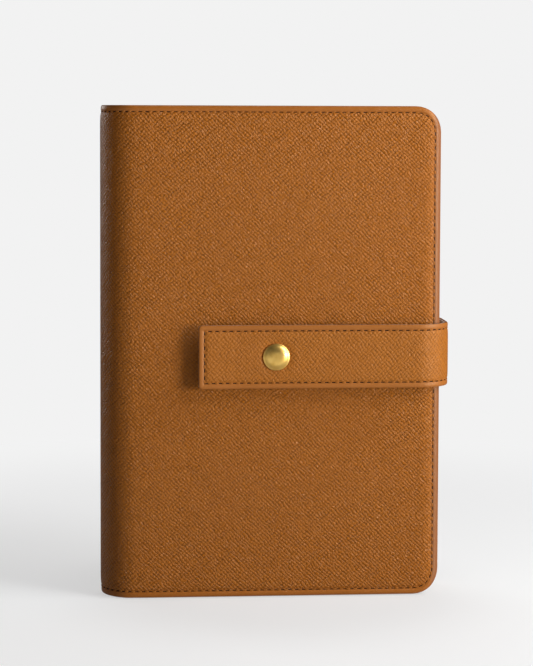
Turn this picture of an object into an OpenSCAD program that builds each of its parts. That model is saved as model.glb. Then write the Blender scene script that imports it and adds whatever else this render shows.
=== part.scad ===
/* [Cover] */
// Height of the cover, and of its spine
cover_h = 229; // [222:1:250]
// Width of the closed cover from the back of the spine to the fore edge, without the strap
cover_w = 158; // [152:1:175]
// Thickness of the closed cover over its two leather faces
cover_t = 31; // [30:0.5:34]
// Radius of each panel's two fore-edge corners, seen from the front
corner_r = 12; // [7:1:20]
// Radius of the roll along each panel's fore edge
roll_r = 12; // [10:1:16]
// How far a panel's fore edge lies behind its flat face
roll_depth = 2.5; // [1:0.5:3]

/* [Panel layers] */
// Thickness of the outer leather
leather_t = 1.3; // [1:0.1:1.6]
// Thickness of the padding under the leather
padding_t = 1.2; // [0.8:0.1:1.4]
// Thickness of the stiffener behind the padding
stiffener_t = 1; // [0.6:0.1:1.2]
// Thickness of the lining
lining_t = 0.7; // [0.5:0.1:0.8]
// Thickness of the slip pocket's leather
pocket_t = 1.1; // [0.8:0.1:1.3]
// Width of the turned edge, which the seam runs through
turned_w = 5; // [4:0.5:6]
// Width of the slip pocket, from the fore edge to its open side
pocket_w = 95; // [70:1:110]

/* [Strap] */
// Width of the strap
strap_w = 29.5; // [24:0.5:34]
// Thickness of the strap's leather
strap_leather_t = 1.3; // [1:0.1:1.5]
// Thickness of the strap's lining
strap_lining_t = 0.9; // [0.7:0.1:1]
// Height of the strap's middle line above the bottom of the cover
strap_z = 113.1; // [100:1:125]
// How far the strap stands off the front panel at the snap
strap_gap = 3; // [2.8:0.1:3.4]
// How far the strap reaches past the fore edge
strap_proud = 4; // [3.8:0.1:5]
// Distance from the strap's free end to the spine's back
strap_end = 44.8; // [30:1:70]
// Distance from the strap's free end to the middle of the snap
snap_from_end = 36; // [20:1:45]
// Length of the strap's sewn end on the back panel, from the fore edge
tab_l = 48; // [35:1:60]
// Inside radius of the strap's bend at the front corner
bend_front_r = 10.5; // [8:0.5:10.5]
// Inside radius of the strap's bend at the back corner
bend_back_r = 6; // [4:0.5:6]

/* [Snap] */
// Diameter of the snap's domed cap
cap_d = 12.5; // [10:0.5:15]
// Height of the cap's dome above the strap
cap_h = 1.9; // [1.4:0.1:2.5]
// Diameter of the snap's socket
socket_d = 11; // [9:0.5:12]
// Diameter of the stud's head
stud_d = 4.6; // [4.2:0.1:5]

/* [Stitching] */
// Distance from one stitch to the next
stitch_pitch = 3.25; // [2.8:0.05:4]
// Length of the thread that shows in each stitch
stitch_l = 2.3; // [1.6:0.1:2.5]
// Width of the thread
stitch_w = 0.7; // [0.5:0.1:1]
// Distance from the cover's edge to its seam
seam_inset = 3; // [2.5:0.1:3.5]
// Distance from the strap's edge to its seam
strap_seam_inset = 2.7; // [2:0.1:3.5]

/* [Notebook] */
// Height of the notebook's pages
page_h = 210; // [200:1:212]
// Width of the notebook's pages
page_w = 141; // [130:1:142]
// Thickness of the notebook's boards
board_t = 2.2; // [1.5:0.1:2.3]
// How far the boards reach past the pages at the top and the bottom
board_lip = 2.5; // [1:0.5:3]

/* [Hidden] */
$fn = 64;
over = 1;
leather_colour = [0.6, 0.37, 0.17];
lining_colour = [0.36, 0.22, 0.12];
thread_colour = [0.78, 0.5, 0.24];
brass_colour = [0.8, 0.64, 0.32];
paper_colour = [0.93, 0.9, 0.82];
board_colour = [0.12, 0.12, 0.13];

// The closed cover, spine to the left and front panel towards -Y. The leather runs on from each panel
// into the spine's curve as far as spine_fold_a, where it folds when the cover opens.
half_t = cover_t / 2;
fore_x = cover_w / 2;
crease_x = half_t - fore_x;
spine_fold_a = 45;
roll_x = fore_x - sqrt(2 * roll_r * roll_depth - roll_depth * roll_depth);

// Depths of the layers, measured inward from a panel's outer face
rim_d = leather_t + padding_t + stiffener_t;
lining_d = rim_d + lining_t;
slot_clear = 0.2;
slot_d = lining_d + board_t + 2.5 * slot_clear;
pocket_d = slot_d + pocket_t;
lining_inset = 0.8;
pocket_inset = 1.2;
pocket_x = fore_x - pocket_w;
page_gap = 0.3;
page_y = half_t - pocket_d - page_gap;

// The strap's path, seen from above
strap_t = strap_leather_t + strap_lining_t;
strap_x = fore_x + strap_proud;
flap_y = -half_t - strap_gap - strap_t;
tab_y = half_t + strap_t;
tip_x = strap_end - fore_x;
tab_x = fore_x - tab_l;
tip_r = 1.5;
front_r = bend_front_r + strap_t;
back_r = bend_back_r + strap_t;
front_c = [strap_x - front_r, flap_y + front_r];
back_c = [strap_x - back_r, tab_y - back_r];
half_gap = 0.15;
side_l = back_c.y - front_c.y;

// The snap, with its axis along Y
snap_x = tip_x + snap_from_end;
stud_flange_h = 0.5;
stud_neck_r = 1.75;
stud_neck_h = 1;
stud_head_h = 1;
rivet_r = 1.2;
rivet_play = 0.05;
post_flange_r = 4.5;
post_flange_h = 0.5;
cap_tube_r = 1.9;
socket_lip = 0.8;
socket_base_h = 0.4;
socket_hole_r = 2.9;
spring_wire_r = 0.25;
cap_rim_h = 0.3;

// The stitches
stitch_t = 0.3;
seam_r = corner_r - seam_inset;
seam_x = fore_x - seam_inset;
seam_run = seam_x - seam_r - crease_x;
seam_arc = seam_r * PI / 2;
seam_rise = cover_h - 2 * (seam_inset + seam_r);
seam_l = 2 * seam_run + 2 * seam_arc + seam_rise;
seam_n = floor(seam_l / stitch_pitch);
curve_n = 4 * round(PI * half_t / 4 / stitch_pitch);

// The bound notebook, whose boards slip into the pockets
page_inset = 8.5;
page_x = fore_x - page_inset - page_w;
page_z = (cover_h - page_h) / 2;
board_x = crease_x + 1;
board_x1 = fore_x - turned_w - 1.5;
board_z = page_z - board_lip;
board_h = page_h + 2 * board_lip;
board_d = lining_d + slot_clear;
board_r = corner_r - turned_w - 2;
endpaper_t = 0.15;
spine_board_t = 1.5;
spine_board_w = 17;
headband_r = 1.2;

// The whole object is centred over its origin
shift_x = (fore_x + stitch_t - strap_x - stitch_t) / 2;
shift_y = (half_t + strap_gap + strap_t + cap_h - tab_y - stitch_t) / 2;

// Inside radii of the spine's leather and of its lining
leather_r = half_t - leather_t;
lining_r = leather_r - lining_t;

// Depth of the rolled face at a distance x from the middle of the cover
function roll_at(x) = x <= roll_x ? 0 : roll_r - sqrt(roll_r * roll_r - (x - roll_x) * (x - roll_x));

// A place along a panel's seam: [x, z, direction]. It runs out along the bottom and back along the top.
function seam_at(s) =
  s < seam_run ? [crease_x + s, seam_inset, 0]
  : s < seam_run + seam_arc ? let (a = (s - seam_run) / seam_r * 180 / PI - 90)
    [seam_x - seam_r + seam_r * cos(a), seam_inset + seam_r + seam_r * sin(a), a + 90]
  : s < seam_run + seam_arc + seam_rise ? [seam_x, seam_inset + seam_r + s - seam_run - seam_arc, 90]
  : s < seam_l - seam_run ? let (a = (s - seam_run - seam_arc - seam_rise) / seam_r * 180 / PI)
    [seam_x - seam_r + seam_r * cos(a), cover_h - seam_inset - seam_r + seam_r * sin(a), a + 90]
  : [crease_x + seam_l - s, cover_h - seam_inset, 180];

// The strap's outer face from the tab's end to the tip: [x, y, direction]
back_run = back_c.x - tab_x;
back_arc = back_r * PI / 2;
front_arc = front_r * PI / 2;
front_run = front_c.x - tip_x;
strap_l = back_run + back_arc + side_l + front_arc + front_run;
to_side = back_run + back_arc / 2;
to_flap = back_run + back_arc + side_l + front_arc / 2;
function strap_at(s) =
  s < back_run ? [tab_x + s, tab_y, 0]
  : s < back_run + back_arc ? let (a = 90 - (s - back_run) / back_r * 180 / PI)
    [back_c.x + back_r * cos(a), back_c.y + back_r * sin(a), a - 90]
  : s < back_run + back_arc + side_l ? [strap_x, back_c.y - (s - back_run - back_arc), -90]
  : s < strap_l - front_run ? let (a = -(s - back_run - back_arc - side_l) / front_r * 180 / PI)
    [front_c.x + front_r * cos(a), front_c.y + front_r * sin(a), a - 90]
  : [front_c.x - (s - strap_l + front_run), flap_y, 180];

// The angle that half the gap between two bodies takes up on a bend of radius r
function gap_angle(r) = half_gap / r * 180 / PI;

module placed() translate([shift_x, shift_y, 0]) children();

// The back panel is the front panel turned over
module back() placed() mirror([0, 1, 0]) children();

// A leaf with two rounded corners on its right, drawn in X and Z as seen from the front
module leaf(x0, x1, z0, z1, r) {
  translate([x0, z0]) square([x1 - r - x0, z1 - z0]);
  translate([x1 - r - over, z0 + r]) square([r + over, z1 - z0 - 2 * r]);
  translate([x1 - r, z0 + r]) circle(r);
  translate([x1 - r, z1 - r]) circle(r);
}

// A panel's outline, with its edge moved in by inset
module outline(x0, inset) leaf(x0, fore_x - inset, inset, cover_h - inset, corner_r - inset);

// A flat layer between two depths of the front panel
module layer(d0, d1, x0, inset) {
  translate([0, d1 - half_t, 0]) rotate([90, 0, 0]) linear_extrude(d1 - d0) outline(x0, inset);
}

// A round hole through the front panel at the snap
module snap_hole(r) {
  translate([snap_x, over - half_t + rim_d, strap_z]) rotate([90, 0, 0]) cylinder(r = r, h = rim_d + 2 * over);
}

// A stretch of the spine's curve, from one direction out of its middle to another
module curve(r0, r1, z0, z1, a0, a1) {
  translate([crease_x, 0, z0]) rotate(a0) rotate_extrude(angle = a1 - a0) translate([r0, 0]) square([r1 - r0, z1 - z0]);
}

// The part of that curve that belongs to the front panel
module panel_curve(r0, r1, z0, z1) curve(r0, r1, z0, z1, 270, 270 - spine_fold_a + gap_angle(r0));

// Leather with its edge turned in on three sides, and a rolled fore edge
module panel_leather() {
  color(leather_colour) {
    difference() {
      intersection() {
        layer(0, rim_d, crease_x, 0);
        union() {
          translate([crease_x - over, -half_t - over, -over])
            cube([roll_x - crease_x + over, rim_d + 2 * over, cover_h + 2 * over]);
          translate([roll_x, roll_r - half_t, -over]) cylinder(r = roll_r, h = cover_h + 2 * over);
        }
      }
      layer(leather_t, rim_d + over, crease_x - over, turned_w);
    }
    difference() {
      panel_curve(lining_r, half_t, 0, cover_h);
      translate([crease_x, 0, turned_w]) cylinder(r = leather_r, h = cover_h - 2 * turned_w);
    }
  }
}

module panel_padding() {
  color("khaki") layer(leather_t, leather_t + padding_t, crease_x + over, turned_w + slot_clear);
}

module panel_stiffener() {
  color("silver") layer(leather_t + padding_t, rim_d, crease_x + over, turned_w + slot_clear);
}

// The lining steps down at the crease and runs on into the spine's curve
module panel_lining() {
  color(lining_colour) {
    layer(rim_d, lining_d, crease_x, lining_inset);
    translate([crease_x, leather_t - half_t, turned_w])
      cube([lining_t, lining_d - leather_t, cover_h - 2 * turned_w]);
    panel_curve(lining_r, leather_r, turned_w, cover_h - turned_w);
  }
}

// The slip pocket: sewn down on three sides, open towards the spine
module panel_pocket() {
  color(leather_colour) difference() {
    layer(lining_d, pocket_d, pocket_x, pocket_inset);
    layer(lining_d - over, slot_d, pocket_x - over, turned_w + over);
  }
}

// The thread that shows along the edge of a panel
module panel_stitching() {
  color(thread_colour) curve_stitches(3 * curve_n / 4, curve_n - 1);
  color(thread_colour) for (i = [0:seam_n - 1]) {
    p = seam_at((i + 0.5) * seam_l / seam_n);
    reach = (stitch_l * abs(cos(p[2])) + stitch_w) / 2;
    y = roll_at(p.x - reach) - half_t - stitch_t;
    translate([p.x, y, p.y]) rotate([0, -p[2], 0]) translate([-stitch_l / 2, 0, -stitch_w / 2])
      cube([stitch_l, stitch_t, stitch_w]);
  }
}

module back_leather() back() panel_leather();
module back_padding() back() panel_padding();
module back_stiffener() back() panel_stiffener();
module back_lining() back() panel_lining();
module back_pocket() back() panel_pocket();
module back_stitching() back() panel_stitching_past_tab();

// The back panel's seam runs on under the strap's sewn end, where it doesn't show
module panel_stitching_past_tab() {
  difference() {
    panel_stitching();
    translate([tab_x, -half_t - strap_t, strap_z - strap_w / 2 - stitch_l])
      cube([tab_l + over, strap_t + over, strap_w + 2 * stitch_l]);
  }
}

module front_leather() placed() difference() {
  panel_leather();
  snap_hole(rivet_r + rivet_play);
}
module front_padding() placed() difference() {
  panel_padding();
  snap_hole(post_flange_r + half_gap);
}
module front_stiffener() placed() difference() {
  panel_stiffener();
  snap_hole(post_flange_r + half_gap);
}
module front_lining() placed() panel_lining();
module front_pocket() placed() panel_pocket();
module front_stitching() placed() panel_stitching();

// The middle of the spine's curve
module spine_curve(r0, r1, z0, z1) {
  a = spine_fold_a - gap_angle(r0);
  curve(r0, r1, z0, z1, 180 - a, 180 + a);
}

// The leather is turned in at the top and the bottom of the spine
module spine_leather() placed() color(leather_colour) difference() {
  spine_curve(lining_r, half_t, 0, cover_h);
  translate([crease_x, 0, turned_w]) cylinder(r = leather_r, h = cover_h - 2 * turned_w);
}

module spine_lining() placed() color(lining_colour) spine_curve(lining_r, leather_r, turned_w, cover_h - turned_w);

// The stitches round the spine's curve, counted from the back panel's crease to the front panel's
module curve_stitches(first, last) {
  for (z = [seam_inset, cover_h - seam_inset], i = [first:last]) {
    translate([crease_x, 0, z - stitch_w / 2]) rotate(90 + (i + 0.5) * 180 / curve_n)
      translate([half_t, -stitch_l / 2, 0]) cube([stitch_t, stitch_l, stitch_w]);
  }
}

module spine_stitching() placed() color(thread_colour) curve_stitches(curve_n / 4, 3 * curve_n / 4 - 1);

// A stretch of the strap's bend, between two radii, from one direction out of the bend's middle to another
module bend(c, r0, r1, a0, a1) {
  translate([c.x, c.y, strap_z - strap_w / 2]) rotate(a0) rotate_extrude(angle = a1 - a0)
    translate([r0, 0]) square([r1 - r0, strap_w]);
}

// The strap's sewn end, between two depths below its outer face
module tab_layer(d0, d1) placed() {
  translate([tab_x, tab_y - d1, strap_z - strap_w / 2]) cube([back_run, d1 - d0, strap_w]);
  bend(back_c, back_r - d1, back_r - d0, 90, 45 + gap_angle(bend_back_r));
}

// The stretch of strap that passes the fore edge
module side_layer(d0, d1) placed() {
  bend(back_c, back_r - d1, back_r - d0, 0, 45 - gap_angle(bend_back_r));
  translate([strap_x - d1, front_c.y, strap_z - strap_w / 2]) cube([d1 - d0, side_l, strap_w]);
  bend(front_c, front_r - d1, front_r - d0, 0, -45 + gap_angle(bend_front_r));
}

// The strap's free end, which lies over the front panel
module flap_layer(d0, d1) placed() difference() {
  union() {
    bend(front_c, front_r - d1, front_r - d0, -90, -45 - gap_angle(bend_front_r));
    translate([0, flap_y + d1, strap_z - strap_w / 2]) rotate([90, 0, 0]) linear_extrude(d1 - d0) {
      translate([tip_x + tip_r, 0]) square([front_run - tip_r, strap_w]);
      translate([tip_x, tip_r]) square([2 * tip_r, strap_w - 2 * tip_r]);
      translate([tip_x + tip_r, tip_r]) circle(tip_r);
      translate([tip_x + tip_r, strap_w - tip_r]) circle(tip_r);
    }
  }
  translate([snap_x, flap_y + strap_t + over, strap_z]) rotate([90, 0, 0])
    cylinder(r = cap_tube_r + half_gap, h = strap_t + 2 * over);
}

module strap_tab_leather() color(leather_colour) tab_layer(0, strap_leather_t);
module strap_tab_lining() color(lining_colour) tab_layer(strap_leather_t, strap_t);
module strap_side_leather() color(leather_colour) side_layer(0, strap_leather_t);
module strap_side_lining() color(lining_colour) side_layer(strap_leather_t, strap_t);
module strap_flap_leather() color(leather_colour) flap_layer(0, strap_leather_t);
module strap_flap_lining() color(lining_colour) flap_layer(strap_leather_t, strap_t);

// The thread along both edges of the strap, from one place on its path to another
module strap_rows(s0, s1) placed() color(thread_colour) {
  n = floor((s1 - s0) / stitch_pitch);
  reach = strap_w / 2 - strap_seam_inset;
  for (z = [strap_z - reach, strap_z + reach], i = [0:n - 1]) {
    p = strap_at(s0 + (i + 0.5) * (s1 - s0) / n);
    translate([p.x, p.y, z - stitch_w / 2]) rotate(p[2]) translate([-stitch_l / 2, 0, 0])
      cube([stitch_l, stitch_t, stitch_w]);
  }
}

// The thread across the strap, at x on a face that looks along Y
module strap_column(x, y) placed() color(thread_colour) {
  reach = strap_w / 2 - strap_seam_inset;
  n = floor(2 * reach / stitch_pitch);
  for (i = [0:n - 1]) {
    z = strap_z - reach + (i + 0.5) * 2 * reach / n;
    translate([x - stitch_w / 2, y, z - stitch_l / 2]) cube([stitch_w, stitch_t, stitch_l]);
  }
}

module strap_tab_stitching() {
  strap_rows(strap_seam_inset, to_side - stitch_w);
  strap_column(tab_x + strap_seam_inset, tab_y);
  strap_column(fore_x - turned_w - stitch_pitch, tab_y);
}
module strap_side_stitching() strap_rows(to_side + stitch_w, to_flap - stitch_w);
module strap_flap_stitching() {
  strap_rows(to_flap + stitch_w, strap_l - strap_seam_inset);
  strap_column(tip_x + strap_seam_inset, flap_y - stitch_t);
}

// Places a snap piece, drawn along +Z, on the front panel, with Z = 0 on the leather's face
module at_snap() placed() translate([snap_x, -half_t, strap_z]) rotate([90, 0, 0]) children();

// The domed cap and its tube, which goes through the strap
module snap_cap() at_snap() color(brass_colour) {
  face = strap_gap + strap_t;
  dome_h = cap_h - cap_rim_h;
  dome_r = (cap_d * cap_d / 4 + dome_h * dome_h) / (2 * dome_h);
  translate([0, 0, face]) cylinder(d = cap_d, h = cap_rim_h);
  translate([0, 0, face + cap_rim_h]) intersection() {
    cylinder(d = cap_d, h = dome_h);
    translate([0, 0, dome_h - dome_r]) sphere(dome_r);
  }
  translate([0, 0, strap_gap - socket_base_h]) cylinder(r = cap_tube_r, h = strap_t + socket_base_h);
}

// The socket under the strap, with its mouth towards the panel
module snap_socket() at_snap() color(brass_colour) difference() {
  translate([0, 0, socket_lip]) cylinder(d = socket_d, h = strap_gap - socket_lip);
  translate([0, 0, 0]) cylinder(r = socket_hole_r, h = strap_gap - socket_base_h);
  cylinder(r = cap_tube_r + rivet_play, h = strap_gap + over);
}

// The ring of spring wire that grips the stud's neck
module snap_spring() at_snap() color("silver") {
  ring_r = stud_neck_r + spring_wire_r + rivet_play;
  translate([0, 0, stud_flange_h + stud_neck_h / 2]) rotate_extrude() translate([ring_r, 0]) circle(spring_wire_r);
}

// The stud on the front panel
module snap_stud() at_snap() color(brass_colour) difference() {
  union() {
    cylinder(r = post_flange_r, h = stud_flange_h);
    cylinder(r = stud_neck_r, h = stud_flange_h + stud_neck_h);
    translate([0, 0, stud_flange_h + stud_neck_h]) cylinder(d = stud_d, h = stud_head_h);
  }
  translate([0, 0, -over]) cylinder(r = rivet_r + rivet_play, h = over + stud_flange_h + stud_neck_h);
}

// The rivet that holds the stud, with its flange behind the leather
module snap_post() at_snap() color(brass_colour) {
  translate([0, 0, -leather_t - post_flange_h]) cylinder(r = post_flange_r, h = post_flange_h);
  translate([0, 0, -leather_t]) cylinder(r = rivet_r, h = leather_t + stud_flange_h + stud_neck_h - rivet_play);
}

// The bound notebook, whose boards slip into the pockets
module notebook_pages() placed() color(paper_colour)
  translate([page_x, -page_y, page_z]) cube([page_w, 2 * page_y, page_h]);

// A board of the notebook, in the front pocket
module board() color(board_colour)
  translate([0, board_d + board_t - half_t, 0]) rotate([90, 0, 0]) linear_extrude(board_t)
    leaf(board_x, board_x1, board_z, board_z + board_h, board_r);

// The endpaper pasted inside a board
module endpaper() color(paper_colour)
  translate([board_x + over, board_d + board_t - half_t, page_z])
    cube([board_x1 - board_x - 2 * over, endpaper_t, page_h]);

module notebook_front_board() placed() board();
module notebook_back_board() back() board();
module front_endpaper() placed() endpaper();
module back_endpaper() back() endpaper();

module notebook_spine_board() placed() color(board_colour)
  translate([page_x - 2 * spine_board_t, -spine_board_w / 2, board_z])
    cube([spine_board_t, spine_board_w, board_h]);

// The sewn bands at the head and the foot of the pages' spine
module headbands() placed() color(thread_colour)
  for (z = [page_z - headband_r, page_z + page_h + headband_r])
    translate([page_x + headband_r, page_y, z]) rotate([90, 0, 0]) cylinder(r = headband_r, h = 2 * page_y);

back_leather();
back_padding();
back_stiffener();
back_lining();
back_pocket();
back_stitching();
spine_leather();
spine_lining();
spine_stitching();
front_leather();
front_padding();
front_stiffener();
front_lining();
front_pocket();
front_stitching();
strap_tab_leather();
strap_tab_lining();
strap_tab_stitching();
strap_side_leather();
strap_side_lining();
strap_side_stitching();
strap_flap_leather();
strap_flap_lining();
strap_flap_stitching();
snap_cap();
snap_socket();
snap_spring();
snap_stud();
snap_post();
notebook_pages();
notebook_back_board();
notebook_front_board();
notebook_spine_board();
back_endpaper();
front_endpaper();
headbands();
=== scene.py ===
import math

import bpy
from mathutils import Matrix, Vector


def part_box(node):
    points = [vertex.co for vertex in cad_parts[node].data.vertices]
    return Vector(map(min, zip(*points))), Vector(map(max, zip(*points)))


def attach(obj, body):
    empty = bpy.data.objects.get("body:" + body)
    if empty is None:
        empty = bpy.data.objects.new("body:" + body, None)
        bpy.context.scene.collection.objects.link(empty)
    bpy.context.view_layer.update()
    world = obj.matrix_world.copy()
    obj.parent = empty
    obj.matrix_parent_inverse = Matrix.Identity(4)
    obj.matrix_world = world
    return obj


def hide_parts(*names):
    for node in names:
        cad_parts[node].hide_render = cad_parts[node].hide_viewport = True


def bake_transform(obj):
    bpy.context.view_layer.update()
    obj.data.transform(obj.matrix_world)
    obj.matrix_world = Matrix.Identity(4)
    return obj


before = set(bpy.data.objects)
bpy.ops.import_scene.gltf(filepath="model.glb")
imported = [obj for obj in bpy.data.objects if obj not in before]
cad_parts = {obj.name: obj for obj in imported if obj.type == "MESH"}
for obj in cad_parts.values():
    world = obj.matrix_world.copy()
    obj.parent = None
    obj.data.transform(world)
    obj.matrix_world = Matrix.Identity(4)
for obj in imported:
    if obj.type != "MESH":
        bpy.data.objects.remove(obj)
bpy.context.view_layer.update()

bl_info = {
    "name": "Leather notebook cover",
    "version": (1, 0, 0),
    "blender": (4, 5, 0),
    "location": "View3D > Sidebar > Notebook cover",
    "description": "Builds a padded leather notebook cover with a snap strap on its packed frame",
    "category": "Object",
}

MM = 0.001

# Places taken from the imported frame
FRONT_LOW, FRONT_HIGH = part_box("front_leather")
BACK_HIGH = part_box("back_leather")[1]
SPINE_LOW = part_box("spine_leather")[0]
FLAP_LOW, FLAP_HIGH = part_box("strap_flap_leather")
SIDE_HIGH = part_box("strap_side_leather")[1]
TAB_LOW, TAB_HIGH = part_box("strap_tab_leather")
CAP_LOW, CAP_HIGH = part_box("snap_cap")
FORE = FRONT_HIGH.x
TALL = FRONT_HIGH.z
HALF = (BACK_HIGH.y - FRONT_LOW.y) / 2
MIDDLE = (BACK_HIGH.y + FRONT_LOW.y) / 2
CREASE = SPINE_LOW.x + HALF
QUARTER = HALF * math.pi / 2
REACH = QUARTER + FORE - CREASE
STRAP_Z = (FLAP_LOW.z + FLAP_HIGH.z) / 2
STRAP_HALF = (FLAP_HIGH.z - FLAP_LOW.z) / 2
SNAP_X = (CAP_LOW.x + CAP_HIGH.x) / 2

# Depths below the outer face, and thicknesses of what lies under it
ROLL_DEPTH = 2.5 * MM
SHOULDER_DEPTH = 0.75 * MM
SHOULDER_REACH = 7 * MM
LINING_DEPTH = 1.34 * MM
LINING_SKIN = 0.62 * MM
LINING_INSET = 0.8 * MM
POCKET_SKIN = 1.05 * MM
STRAP_LINING_DEPTH = 1.36 * MM
STRAP_GROOVE = 0.32

# The strap's way round the fore edge
STRAP_GAP = 0.9 * MM
FRONT_PARTS = 40
BACK_PARTS = 24
BACK_BEND = 8.2 * MM
CURL_LENGTH = 34 * MM
STRAP_CORNER = 1.6 * MM
SNAP_DENT = 0.45 * MM

# How a stitch and its hole lie across the seam, and how far each stands above the leather
THREAD_SLANT = 0.20
HOLE_SLANT = 0.75
THREAD_RISE = 0.02 * MM
HOLE_RISE = -0.17 * MM

# The snap's dome
DOME_RINGS = 13
DOME_POWER = 3.6


def size(name, description, default, low, high):
    """One length that a user may change, given in millimetres."""
    return bpy.props.FloatProperty(
        name=name, description=description, default=default * MM, min=low * MM, max=high * MM,
        subtype="DISTANCE", unit="LENGTH", precision=5)


def colour(name, description, default):
    """One colour that a user may change."""
    return bpy.props.FloatVectorProperty(
        name=name, description=description, default=default, size=3, min=0.0, max=1.0,
        subtype="COLOR")


class CoverSizes(bpy.types.PropertyGroup):
    """Sizes of the leather, the seams and the strap"""
    corner: size("Corner radius", "Radius of the fore-edge corners", 12, 7, 20)
    roll: size("Roll radius", "Radius of the roll along the fore edge", 12, 10, 16)
    rim_depth: size("Edge thickness", "Thickness of a panel's turned edge", 3.5, 2, 5)
    spine_depth: size("Spine edge", "Thickness of the turned edge at the spine", 2.0, 1, 4)
    skin: size("Skin", "Thickness of the leather's shell", 0.5, 0.3, 0.6)
    puff: size("Puff", "How far the padding lifts the leather inside the seam", 0.35, 0, 1)
    groove: size("Seam groove", "How deep the seam pulls the leather in", 0.42, 0, 1)
    seam: size("Seam inset", "Distance from the edge to the seam", 3.0, 2, 4)
    pitch: size("Stitch pitch", "Distance from one stitch to the next", 3.25, 2, 5)
    strap_seam: size("Strap seam inset", "From the strap's edge to its seam", 2.7, 2, 4)
    strap_skin: size("Strap leather", "Thickness of the strap's leather", 1.25, 0.8, 2)
    strap_lining: size("Strap lining", "Thickness of the strap's lining", 0.85, 0.4, 1.2)
    lift: size("Free end lift", "How far the strap's free end curls up", 1.5, 0, 4)
    bend_wide: size("Bend width", "How far before its side the strap bends", 16, 12, 20)
    bend_deep: size("Bend depth", "How deep the strap's front bend is", 15, 12, 20)


class CoverColours(bpy.types.PropertyGroup):
    """Colours of the leather, thread, metal and notebook"""
    leather: colour("Leather", "The cover's leather", (0.415, 0.124, 0.0085))
    strap: colour("Strap leather", "The strap's leather", (0.412, 0.129, 0.011))
    lining: colour("Lining", "Sueded lining", (0.22, 0.105, 0.045))
    thread: colour("Thread", "Waxed seam thread", (0.44, 0.15, 0.02))
    # The hole's colour is painted shade: the near-black that a punched hole shows
    hole: colour("Punched hole", "Inside of a stitch hole", (0.018, 0.006, 0.004))
    brass: colour("Brass", "Snap's cap", (0.98, 0.64, 0.18))
    steel: colour("Steel", "Snap's spring", (0.56, 0.56, 0.55))
    page: colour("Paper", "Notebook's pages", (0.80, 0.74, 0.60))
    cloth: colour("Board cloth", "Notebook's boards", (0.03, 0.028, 0.027))
    foam: colour("Padding", "Foam under the leather", (0.72, 0.68, 0.56))
    card: colour("Card", "Stiffener card", (0.42, 0.36, 0.27))
    floor: colour("Floor", "Plain pale floor", (0.80, 0.80, 0.80))


# Ways of working


def only(*pieces):
    """Leaves these pieces selected and the first of them active."""
    bpy.ops.object.select_all(action="DESELECT")
    for piece in pieces:
        piece.select_set(True)
    bpy.context.view_layer.objects.active = pieces[0]


def mode(name):
    """Goes into edit or object mode."""
    bpy.ops.object.mode_set(mode=name)


def finish_with(piece, kind, **values):
    """Adds one modifier to a piece and applies it."""
    only(piece)
    bpy.ops.object.modifier_add(type=kind)
    modifier = piece.modifiers[-1]
    for key, value in values.items():
        setattr(modifier, key, value)
    bpy.ops.object.modifier_apply(modifier=modifier.name)


def edit(piece, step, **values):
    """Runs one edit-mode step on the whole of a piece."""
    only(piece)
    mode("EDIT")
    bpy.ops.mesh.select_all(action="SELECT")
    step(**values)
    mode("OBJECT")


def pick(piece, kind, wanted):
    """Goes into edit mode with only the wanted faces or edges of a piece selected."""
    only(piece)
    mode("EDIT")
    bpy.ops.mesh.select_mode(type=kind)
    bpy.ops.mesh.select_all(action="DESELECT")
    mode("OBJECT")
    for part in piece.data.polygons if kind == "FACE" else piece.data.edges:
        part.select = wanted(part)
    mode("EDIT")


def ends_of(piece, edge):
    """The two ends of an edge."""
    return [piece.data.vertices[i].co for i in edge.vertices]


def settle():
    """Makes the piece's place, turn and size part of its mesh."""
    bpy.ops.object.transform_apply(location=True, rotation=True, scale=True)


def smooth(piece, angle=40):
    """Shades a piece smooth, with its sharp edges kept."""
    only(piece)
    bpy.ops.object.shade_smooth_by_angle(angle=math.radians(angle))


def join(name, pieces):
    """Joins pieces into one, with its place in its mesh."""
    only(*pieces)
    bpy.ops.object.join()
    settle()
    whole = bpy.context.object
    whole.name = name
    whole.data.name = name
    return whole


def in_metres(rows):
    """Rows given in millimetres, in metres."""
    return [tuple(value * MM for value in row) for row in rows]


def level(*rows):
    """Rows of a sheet that keeps its inset: inset and depth become flat inset, inset and depth."""
    return [(inset, inset, depth) for inset, depth in rows]


def ease(value, start, end):
    """Rises smoothly from 0 at start to 1 at end."""
    t = min(1.0, max(0.0, (value - start) / (end - start)))
    return t * t * (3 - 2 * t)


def between(value, rows):
    """Reads the other columns of a list of rows at a place in its first column."""
    if value <= rows[0][0]:
        return rows[0][1:]
    for low, high in zip(rows, rows[1:]):
        if value <= high[0]:
            t = (value - low[0]) / (high[0] - low[0])
            return [a + (b - a) * t for a, b in zip(low[1:], high[1:])]
    return rows[-1][1:]


def steps(start, end, gap):
    """Evenly spaced places from start up to, but without, end."""
    count = max(1, round((end - start) / gap))
    return [start + (end - start) * k / count for k in range(count)]


def grid(name, across, up):
    """A flat sheet whose columns and rows stand at the places given."""
    columns, rows = len(across) - 1, len(up) - 1
    bpy.ops.mesh.primitive_grid_add(x_subdivisions=columns, y_subdivisions=rows, size=2)
    sheet = bpy.context.object
    sheet.name = name
    sheet.data.name = name
    for vertex in sheet.data.vertices:
        column = round((vertex.co.x + 1) / 2 * columns)
        row = round((vertex.co.y + 1) / 2 * rows)
        vertex.co = (across[column], 0, up[row])
    return sheet


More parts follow.
